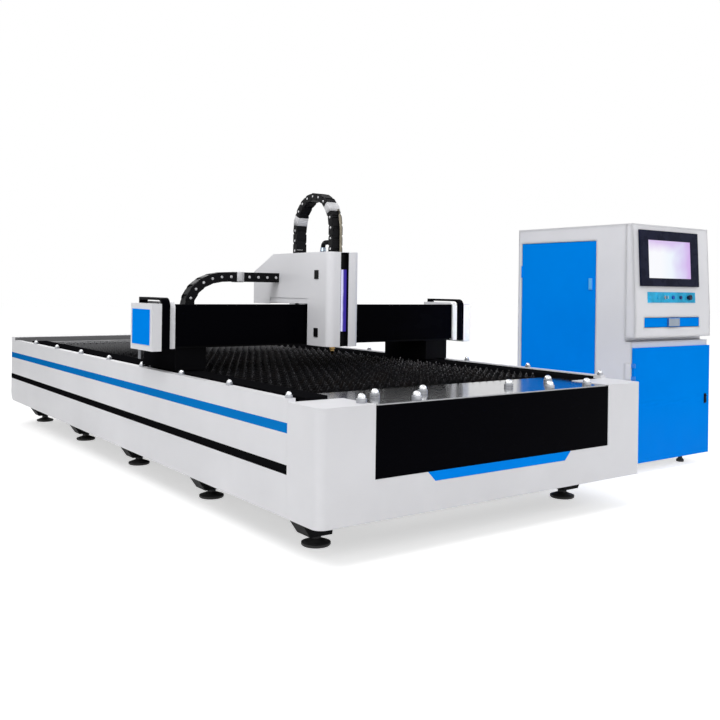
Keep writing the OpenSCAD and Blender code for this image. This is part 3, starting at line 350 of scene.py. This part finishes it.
# stretch of the streaks in a metal: none, and round a turned piece
EVEN = (1, 1, 1)
ROUND = (1, 1, 30)
FINISHES = {
    "white_paint": paint("white_paint", WHITE, rough=0.36),
    "blue_paint": paint("blue_paint", BLUE, rough=0.30, wear=0.02, shine=0.0, dust=0.02),
    "black_paint": paint("black_paint", BLACK, rough=0.42, wear=0.01, shine=0.0, dust=0.0),
    "black_gloss": paint("black_gloss", (0.001, 0.001, 0.002), rough=0.24, wear=0.01, depth=0.02,
                         shine=0.01, dust=0.0),
    "dark_frame": paint("dark_frame", BLACK, rough=0.5, wear=0.02, shine=0.06, dust=0.02),
    "polished_steel": metal("polished_steel", (0.35, 0.355, 0.37), rough=0.15, depth=0.03),
    "slat_steel": scorched("slat_steel"),
    "ground_steel": metal("ground_steel", (0.50, 0.51, 0.53), rough=0.26),
    "cup_steel": metal("cup_steel", (0.46, 0.47, 0.50), rough=0.30, stretch=(1, 1, 20)),
    "ball_chrome": metal("ball_chrome", (0.80, 0.81, 0.83), rough=0.13, stretch=EVEN, depth=0.01,
                         dark=0.9),
    "foot_rubber": rubber("foot_rubber"),
    "screen_frame": plastic("screen_frame", (0.012, 0.014, 0.032), rough=0.26, depth=0.03, dust=0.0,
                            shine=0.03),
    "screen_face": display("screen_face"),
    "teal_plate": plastic("teal_plate", (0.035, 0.46, 0.78), rough=0.30, depth=0.04, shine=0.08),
    "key_metal": metal("key_metal", (0.65, 0.65, 0.67), rough=0.2, stretch=EVEN),
    "blue_button": plastic("blue_button", (0.01, 0.09, 0.46), rough=0.3, depth=0.03, shine=0.2),
    "dark_button": plastic("dark_button", (0.01, 0.03, 0.16), rough=0.3, depth=0.03, shine=0.2),
    "cap_plastic": plastic("cap_plastic", (0.008, 0.010, 0.04), rough=0.3, depth=0.03, shine=0.2),
    "handle_metal": metal("handle_metal", (0.33, 0.39, 0.47), rough=0.33, stretch=(1, 1, 0.05)),
    "black_plastic": plastic("black_plastic", (0.003, 0.003, 0.004), rough=0.45, dust=0.02, shine=0.10),
    "led_light": light_strip("led_light"),
    "motor_black": plastic("motor_black", BLACK, rough=0.42, shine=0.25),
    "unit_grey": plastic("unit_grey", (0.20, 0.21, 0.23), rough=0.5),
    "zinc_plate": metal("zinc_plate", (0.48, 0.49, 0.50), rough=0.36, stretch=EVEN, scale=60.0),
    "machined_alu": metal("machined_alu", (0.48, 0.49, 0.51), rough=0.30, stretch=(1, 1, 40)),
    "head_alu": metal("head_alu", (0.20, 0.21, 0.23), rough=0.34, stretch=ROUND),
    "nozzle_brass": metal("nozzle_brass", (0.62, 0.40, 0.15), rough=0.22, stretch=ROUND),
}
# radius that the edges of the cabinet's folded sheets show
FOLD_R = 0.022
# the shell's hinge knuckles are blue: they lie within this depth behind the front door's face
KNUCKLE_DEPTH = 0.0275
SHELL_FRONT = box_of("front_door")[0].y + KNUCKLE_DEPTH
# the rear cover is white over this depth from its rear end, and dark grey in front of it
REAR_DEPTH = 0.097
REAR_FRONT = box_of("rear_cover")[1].y - REAR_DEPTH
STRIPE_BLUE = paint("stripe_blue", (0.004, 0.21, 0.64), rough=0.34, wear=0.02, shine=0.0, dust=0.0)
LATCH_BLUE = paint("latch_blue", (0.14, 0.53, 1.0), rough=0.34, wear=0.02, shine=0.0, dust=0.0)
# the head's and the cabinet's whites use the paler copy of the white paint: painted light
HEAD_WHITE = paint("head_white", WHITE_WITH_PAINTED_LIGHT, rough=0.36)
CABINET_WHITE = paint("cabinet_white", WHITE_WITH_PAINTED_LIGHT, rough=0.36, soft=FOLD_R)
SHELL_WHITE = paint("shell_white", WHITE_WITH_PAINTED_LIGHT, rough=0.36, soft=FOLD_R, front=(SHELL_FRONT, BLUE))
REAR_WHITE = paint("rear_white", WHITE, rough=0.36, front=(REAR_FRONT, REAR_FRONT_GREY))
WHITE_CAP = plastic("white_cap", (0.62, 0.62, 0.64), rough=0.42, dust=0.0)
TAN_HOSE = plastic("tan_hose", (0.26, 0.23, 0.17), rough=0.5, grain=300.0, dust=0.0)


def dress(obj, finish):
    """The object shows one finish on all its faces."""
    if not obj.material_slots:
        obj.data.materials.append(finish)
    for held in obj.material_slots:
        held.material = finish


for sub in record["subparts"]:
    dress(nodes[sub["node"]], FINISHES[sub["material_slot"]])
dress(nodes["blue_side_stripes"], STRIPE_BLUE)
dress(nodes["cabinet_shell"], SHELL_WHITE)
dress(nodes["console_housing"], CABINET_WHITE)
dress(nodes["rear_cover"], REAR_WHITE)
dress(nodes["head_cover"], HEAD_WHITE)
dress(nodes["side_door_latch"], LATCH_BLUE)


# making pieces
def as_object(name, mesh_maker, finish):
    """A mesh object filled by a function that draws into a bmesh."""
    bm = bmesh.new()
    mesh_maker(bm)
    bmesh.ops.recalc_face_normals(bm, faces=bm.faces)
    mesh = bpy.data.meshes.new(name)
    bm.to_mesh(mesh)
    bm.free()
    made = bpy.data.objects.new(name, mesh)
    bpy.context.scene.collection.objects.link(made)
    dress(made, finish)
    return made


def loft(bm, rings, smooth=True):
    """Closed skin over rings of points that all have the same count."""
    rows = [[bm.verts.new(p) for p in ring] for ring in rings]
    count = len(rows[0])
    for low, high in zip(rows, rows[1:]):
        for i in range(count):
            j = (i + 1) % count
            bm.faces.new((low[i], low[j], high[j], high[i])).smooth = smooth
    bm.faces.new(rows[0])
    bm.faces.new(rows[-1])


def cross_axes(axis):
    """Two directions square to an axis and to each other."""
    axis = Vector(axis).normalized()
    helper = Vector((0, 0, 1)) if abs(axis.z) < 0.9 else Vector((0, 1, 0))
    first = axis.cross(helper).normalized()
    return first, axis.cross(first)


def ring(centre, axis, radius, count):
    first, second = cross_axes(axis)
    turns = [2 * math.pi * i / count for i in range(count)]
    return [Vector(centre) + radius * (math.cos(t) * first + math.sin(t) * second) for t in turns]


def turned(bm, foot, axis, profile, count=16):
    """Round piece on a foot point: the profile lists (radius, height along the axis)."""
    axis = Vector(axis).normalized()
    loft(bm, [ring(Vector(foot) + h * axis, axis, r, count) for r, h in profile])


def pipe(bm, points, radius, count=10):
    """Round bar along a row of points."""
    points = [Vector(p) for p in points]
    ways = [(b - a).normalized() for a, b in zip(points, points[1:])]
    ways = [ways[0]] + [(a + b).normalized() for a, b in zip(ways, ways[1:])] + [ways[-1]]
    loft(bm, [ring(p, w, radius, count) for p, w in zip(points, ways)])


# drag chains: the CAD links again, with pieces that sit on them
PITCH = 0.060
LINK_W = 0.070
LINK_H = 0.040
# links of each chain before its bend, in it and after it, and the turn of every link in degrees
X_TOP, X_BEND, X_TRAY = 5, 12, 8
X_ARC = [180 + 90 * (1 - math.cos(math.pi * k / (X_BEND + 1))) for k in range(1, X_BEND + 1)]
X_TURNS = [180] * X_TOP + X_ARC + [360] * X_TRAY
Z_RISE, Z_BEND, Z_DROP = 6, 10, 2
Z_ARC = [90 - 180 * (k + 0.5) / Z_BEND for k in range(Z_BEND)]
Z_TURNS = [90] * Z_RISE + Z_ARC + [-90] * Z_DROP
# height of the links of the chain along the beam, against the CAD links
X_STOUT = 1.4
PIN_PROFILE = [(0.0068, 0.0), (0.0068, 0.0022), (0.0050, 0.0032), (0.0018, 0.0036)]
PIN_SINK = 0.001
# sleeves: corner radius, and how far the lips, the ends and the middle stand off the links
SLEEVE_R = 0.007
SLEEVE_LIP, SLEEVE_END, SLEEVE_MIDDLE = 0.0006, 0.0026, 0.0032


class Chain:
    """Pivots of one chain, and pieces that sit on it along its curve."""

    def __init__(self, node, turns, first, along, side, out, bodies, span, stout=1.0):
        self.node = node
        self.stout = stout
        self.turns = [math.radians(t) for t in turns]
        self.along = Vector(along)
        self.side = Vector(side)
        self.out = out
        self.bodies = bodies
        self.span = span
        self.points = [Vector(first)]
        for t in self.turns:
            self.points.append(self.points[-1] + PITCH * self.heading(t))

    def heading(self, t):
        return math.cos(t) * self.along + math.sin(t) * Vector((0, 0, 1))

    def outward(self, t):
        return self.heading(t + self.out * math.pi / 2)

    def mean(self, i):
        """Mean turn of the links on both sides of a pivot."""
        before = self.turns[max(i - 1, 0)]
        return (before + self.turns[min(i, len(self.turns) - 1)]) / 2

    def bend(self, made):
        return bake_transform(made)

    def nearest(self, place):
        """Number of the link whose middle is nearest to a place."""
        middles = [(a + b) / 2 for a, b in zip(self.points, self.points[1:])]
        return min(range(len(middles)), key=lambda i: (middles[i] - place).length)

    def thicken(self, mesh):
        """Links grow outward and inward from the pivots, except on the run that lies in its tray."""
        for v in mesh.vertices:
            i = self.nearest(v.co)
            if self.turns[i] < 2 * math.pi:
                out = self.outward(self.turns[i])
                v.co += (self.stout - 1) * (v.co - self.points[i]).dot(out) * out

    def links(self):
        mesh = nodes[self.node].data.copy()
        if self.stout > 1:
            self.thicken(mesh)
        made = bpy.data.objects.new(self.node + "_links", mesh)
        bpy.context.scene.collection.objects.link(made)
        dress(made, FINISHES["black_plastic"])
        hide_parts(self.node)
        return self.bend(made)

    def pins(self):
        """White caps on both ends of every pivot."""
        profile = [(r * math.sqrt(self.stout), h) for r, h in PIN_PROFILE]

        def draw(bm):
            for p in self.points:
                for s in (-1, 1):
                    turned(bm, p + s * self.side * (LINK_W / 2 - PIN_SINK), s * self.side, profile)
        return self.bend(as_object(self.node + "_pins", draw, WHITE_CAP))

    def section(self, place, t, grow):
        """Outline of the chain with round corners, at a place on it and a little larger."""
        w = LINK_W / 2 + grow - SLEEVE_R
        h = self.stout * LINK_H / 2 + grow - SLEEVE_R
        made = []
        for a, b, start in ((w, h, 0), (-w, h, 90), (-w, -h, 180), (w, -h, 270)):
            for step in (0, 30, 60, 90):
                c = math.radians(start + step)
                across = (a + SLEEVE_R * math.cos(c)) * self.side
                made.append(place + across + (b + SLEEVE_R * math.sin(c)) * self.outward(t))
        return made

    def band(self, pivot, length):
        """White sleeve round the chain at a pivot, turned with the links on both sides."""
        def draw(bm):
            middle = self.points[pivot]
            before, after = self.turns[pivot - 1], self.turns[pivot]
            back = middle - length / 2 * self.heading(before)
            front = middle + length / 2 * self.heading(after)
            loft(bm, [self.section(back, before, SLEEVE_LIP), self.section(back, before, SLEEVE_END),
                      self.section(middle, self.mean(pivot), SLEEVE_MIDDLE),
                      self.section(front, after, SLEEVE_END), self.section(front, after, SLEEVE_LIP)])
        name = "%s_band_%d" % (self.node, pivot)
        return self.bend(as_object(name, draw, WHITE_CAP))

    def hose(self, first, last, shy, radius, aside):
        """Hose strapped to the outer face of the chain, from one pivot to a little short of another."""
        def draw(bm):
            lift = self.stout * LINK_H / 2 + radius
            route = [self.points[i] + lift * self.outward(self.mean(i)) + aside * self.side
                     for i in range(first, last + 1)]
            route[-1] += shy * (route[-2] - route[-1]).normalized()
            pipe(bm, route, radius)
        return self.bend(as_object(self.node + "_hose", draw, TAN_HOSE))


def x_chain():
    """Chain along the beam, from its tray to the carriage."""
    low, high = box_of("x_chain")
    middle = (low.y + high.y) / 2
    top, bottom = high.z - LINK_H / 2, low.z + LINK_H / 2
    reach = PITCH * sum(math.cos(math.radians(t)) for t in X_TURNS)
    first = (high.x - LINK_H / 2 - reach, middle, top)
    span = ((first[0], middle, bottom), (first[0], middle, top))
    made = Chain("x_chain", X_TURNS, first, (1, 0, 0), (0, 1, 0), -1, ("gantry", "carriage"), span,
                 X_STOUT)
    made.links()
    made.pins()
    made.band(pivot=4, length=0.045)


def z_chain():
    """Upright chain, from the cutting head over to the carriage."""
    low, high = box_of("z_chain")
    middle = (low.x + high.x) / 2
    front, rear = low.y + LINK_H / 2, high.y - LINK_H / 2
    first = (middle, front, low.z + LINK_H / 2)
    span = ((middle, front, first[2]), (middle, rear, first[2]))
    made = Chain("z_chain", Z_TURNS, first, (0, 1, 0), (1, 0, 0), 1, ("z_slide", "carriage"), span)
    made.links()
    made.pins()
    for pivot in (8, 15):
        made.band(pivot, length=0.055)
    made.hose(first=3, last=8, shy=0.026, radius=0.007, aside=0.018)


def cover_fitting():
    """Nut and elbow on top of the head's cover, which lead to the upright chain."""
    chain_low, chain_high = box_of("z_chain")
    chain_rear = chain_low.y + LINK_H
    cover_rise, aside, apart, chain_gap = 0.004, 0.006, 0.097, 0.002
    elbow_from, elbow_turn, elbow_r, bend_r = 0.028, 0.034, 0.0135, 0.026
    top = box_of("led_channel")[1].z + cover_rise
    x = (chain_low.x + chain_high.x) / 2 - aside
    y = chain_rear + apart
    turn = top + elbow_turn
    nut_profile = [(0.024, 0.0), (0.024, 0.004), (0.020, 0.004), (0.020, 0.016), (0.0185, 0.018),
                   (0.0185, 0.030), (0.015, 0.032)]

    def nut(bm):
        turned(bm, (x, y, top), (0, 0, 1), nut_profile, count=6)

    def elbow(bm):
        steps = [math.radians(a) for a in range(0, 91, 15)]
        arc = [(x, y - bend_r * (1 - math.cos(a)), turn + bend_r * math.sin(a)) for a in steps]
        end = (x, chain_rear + chain_gap, turn + bend_r)
        pipe(bm, [(x, y, top + elbow_from)] + arc + [end], elbow_r, count=12)

    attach(as_object("fitting_nut", nut, FINISHES["handle_metal"]), "carriage")
    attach(as_object("fitting_elbow", elbow, FINISHES["black_plastic"]), "carriage")


def cover_skirts():
    """Side skirts of the head's cover, inside its sheet, from its lower edge to just above the beam."""
    low, high = box_of("head_cover")
    beam_low, beam_high = box_of("beam_cover")
    sheet, gap, lap, corner, ahead, behind = 0.003, 0.004, 0.060, 0.012, 0.018, 0.045
    inside = (1.1 * sheet, 2.1 * sheet)
    bottom, top = beam_high.z + gap, beam_high.z + lap
    front, rear = beam_low.y - ahead, box_of("gantry_beam")[1].y + behind
    outline = [(front, bottom), (rear - corner, bottom), (rear, bottom + corner), (rear, top), (front, top)]

    def draw(bm):
        for x, s in ((low.x, 1), (high.x, -1)):
            faces = [[(x + s * depth, y, z) for y, z in outline] for depth in inside]
            loft(bm, faces, smooth=False)

    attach(as_object("head_skirts", draw, HEAD_WHITE), "carriage")


def folded(edge, s, foot, top, sheet, lip):
    """Outline of a standing sheet whose top is folded over by a lip, to the side that s points to."""
    return [(edge, foot), (edge + s * sheet, foot), (edge + s * sheet, top - sheet),
            (edge + s * lip, top - sheet), (edge + s * lip, top), (edge, top)]


def travel_flag():
    """Small folded flag under the gantry's left end cover."""
    low, high = box_of("end_covers")
    sheet, drop, lip, length, gap = 0.004, 0.055, 0.022, 0.034, 0.0003
    from_side, from_rear = 0.036, 0.050
    x, y, top = low.x + from_side, high.y - from_rear, low.z - gap

    def draw(bm):
        outline = folded(x, 1, top - drop, top, sheet, lip)
        loft(bm, [[(a, y + along, b) for a, b in outline] for along in (0.0, length)], smooth=False)

    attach(as_object("travel_flag", draw, FINISHES["unit_grey"]), "gantry")


def tray_ends():
    """End walls of the scrap tray, folded over at the top."""
    low, high = box_of("scrap_tray")
    sheet, gap, lip = 0.003, 0.004, 0.026
    bottom, top = low.z + gap, high.z - gap

    def draw(bm):
        for y, s in ((low.y, 1), (high.y, -1)):
            outline = folded(y, s, bottom, top, sheet, lip)
            loft(bm, [[(x, a, b) for a, b in outline] for x in (low.x + gap, high.x - gap)], smooth=False)

    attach(as_object("tray_ends", draw, FINISHES["dark_frame"]), "bed")


x_chain()
z_chain()
cover_fitting()
cover_skirts()
travel_flag()
tray_ends()


# studio: light of the surroundings, and the floor's own glow where it shows as the background
AMBIENT = 0.46
FLOOR_GLOW = 0.58
FLOOR_GREY = (0.86, 0.86, 0.86)
PURE_WHITE = (1.0, 1.0, 1.0)
FLOOR_SIZE = 80.0
FLOOR_Z = -0.0005


def area_lamp(name, place, target, size, watts, spread=180):
    data = bpy.data.lights.new(name, "AREA")
    data.shape = "DISK"
    data.size = size
    data.energy = watts
    data.spread = math.radians(spread)
    lamp = bpy.data.objects.new(name, data)
    lamp.location = place
    lamp.rotation_euler = (Vector(target) - Vector(place)).to_track_quat("-Z", "Y").to_euler()
    bpy.context.scene.collection.objects.link(lamp)


def lamps():
    middle = (0.0, -0.3, 0.6)
    head = (0.2, -1.2, 0.8)
    right_end = box_of("end_frames")[1] - Vector((0.0, 0.1, 0.15))
    area_lamp("key", (-2.6, -9.5, 5.8), middle, size=5.0, watts=165.0)
    area_lamp("side", (-4.5, -2.5, 6.0), head, size=4.0, watts=56.0, spread=90)
    area_lamp("fill", (8.0, -5.0, 6.0), middle, size=6.0, watts=130.0)
    area_lamp("back", (1.0, 9.0, 7.0), middle, size=6.0, watts=220.0)
    area_lamp("right_end", (0.2, -6.5, 3.5), right_end, size=0.3, watts=1.1, spread=10)


def background_rays(tree):
    """1 for rays that show the background: from the camera, off a glossy face or through a clear one."""
    path = tree.nodes.new("ShaderNodeLightPath").outputs
    seen = path["Is Camera Ray"]
    for kind in ("Is Glossy Ray", "Is Transmission Ray"):
        either = tree.nodes.new("ShaderNodeMath")
        either.operation = "MAXIMUM"
        tree.links.new(seen, either.inputs[0])
        tree.links.new(path[kind], either.inputs[1])
        seen = either.outputs[0]
    return seen


def surroundings():
    """White to the eye, and dimmer as a light."""
    world = bpy.data.worlds.new("studio")
    world.use_nodes = True
    bpy.context.scene.world = world
    tree = world.node_tree
    level = tree.nodes.new("ShaderNodeMapRange")
    level.inputs["To Min"].default_value = AMBIENT
    level.inputs["To Max"].default_value = 1.0
    tree.links.new(background_rays(tree), level.inputs["Value"])
    backdrop = tree.nodes["Background"]
    tree.links.new(level.outputs[0], backdrop.inputs["Strength"])
    backdrop.inputs["Color"].default_value = rgba(PURE_WHITE)


def floor():
    bpy.ops.mesh.primitive_plane_add(size=FLOOR_SIZE, location=(0.0, 0.0, FLOOR_Z))
    made = bpy.context.object
    made.name = "floor"
    f = Finish("floor")
    f.set(Base_Color=rgba(FLOOR_GREY), Roughness=0.9, Specular_IOR_Level=0.1)
    f.set(Emission_Color=rgba(PURE_WHITE))
    f.set(Emission_Strength=f.math("MULTIPLY", background_rays(f.tree), FLOOR_GLOW))
    dress(made, f.material)


# the photograph's camera: its place, and its turns about the upright and about the line of sight
EYE = at_bed(-2.8093, -2.7599, 1.0989)
YAW = -0.6256
ROLL = 0.0138


def camera():
    data = bpy.data.cameras.new("camera")
    data.sensor_width = 36.0
    data.lens = 43.065
    data.shift_y = -0.0985
    data.clip_end = 200.0
    made = bpy.data.objects.new("camera", data)
    level = Matrix.Rotation(YAW, 4, "Z") @ Matrix.Rotation(math.pi / 2, 4, "X")
    turn = level @ Matrix.Rotation(ROLL, 4, "Z")
    made.matrix_world = Matrix.Translation(EYE) @ turn
    bpy.context.scene.collection.objects.link(made)
    bpy.context.scene.camera = made


bpy.context.scene.view_settings.view_transform = "Standard"
lamps()
surroundings()
floor()
camera()
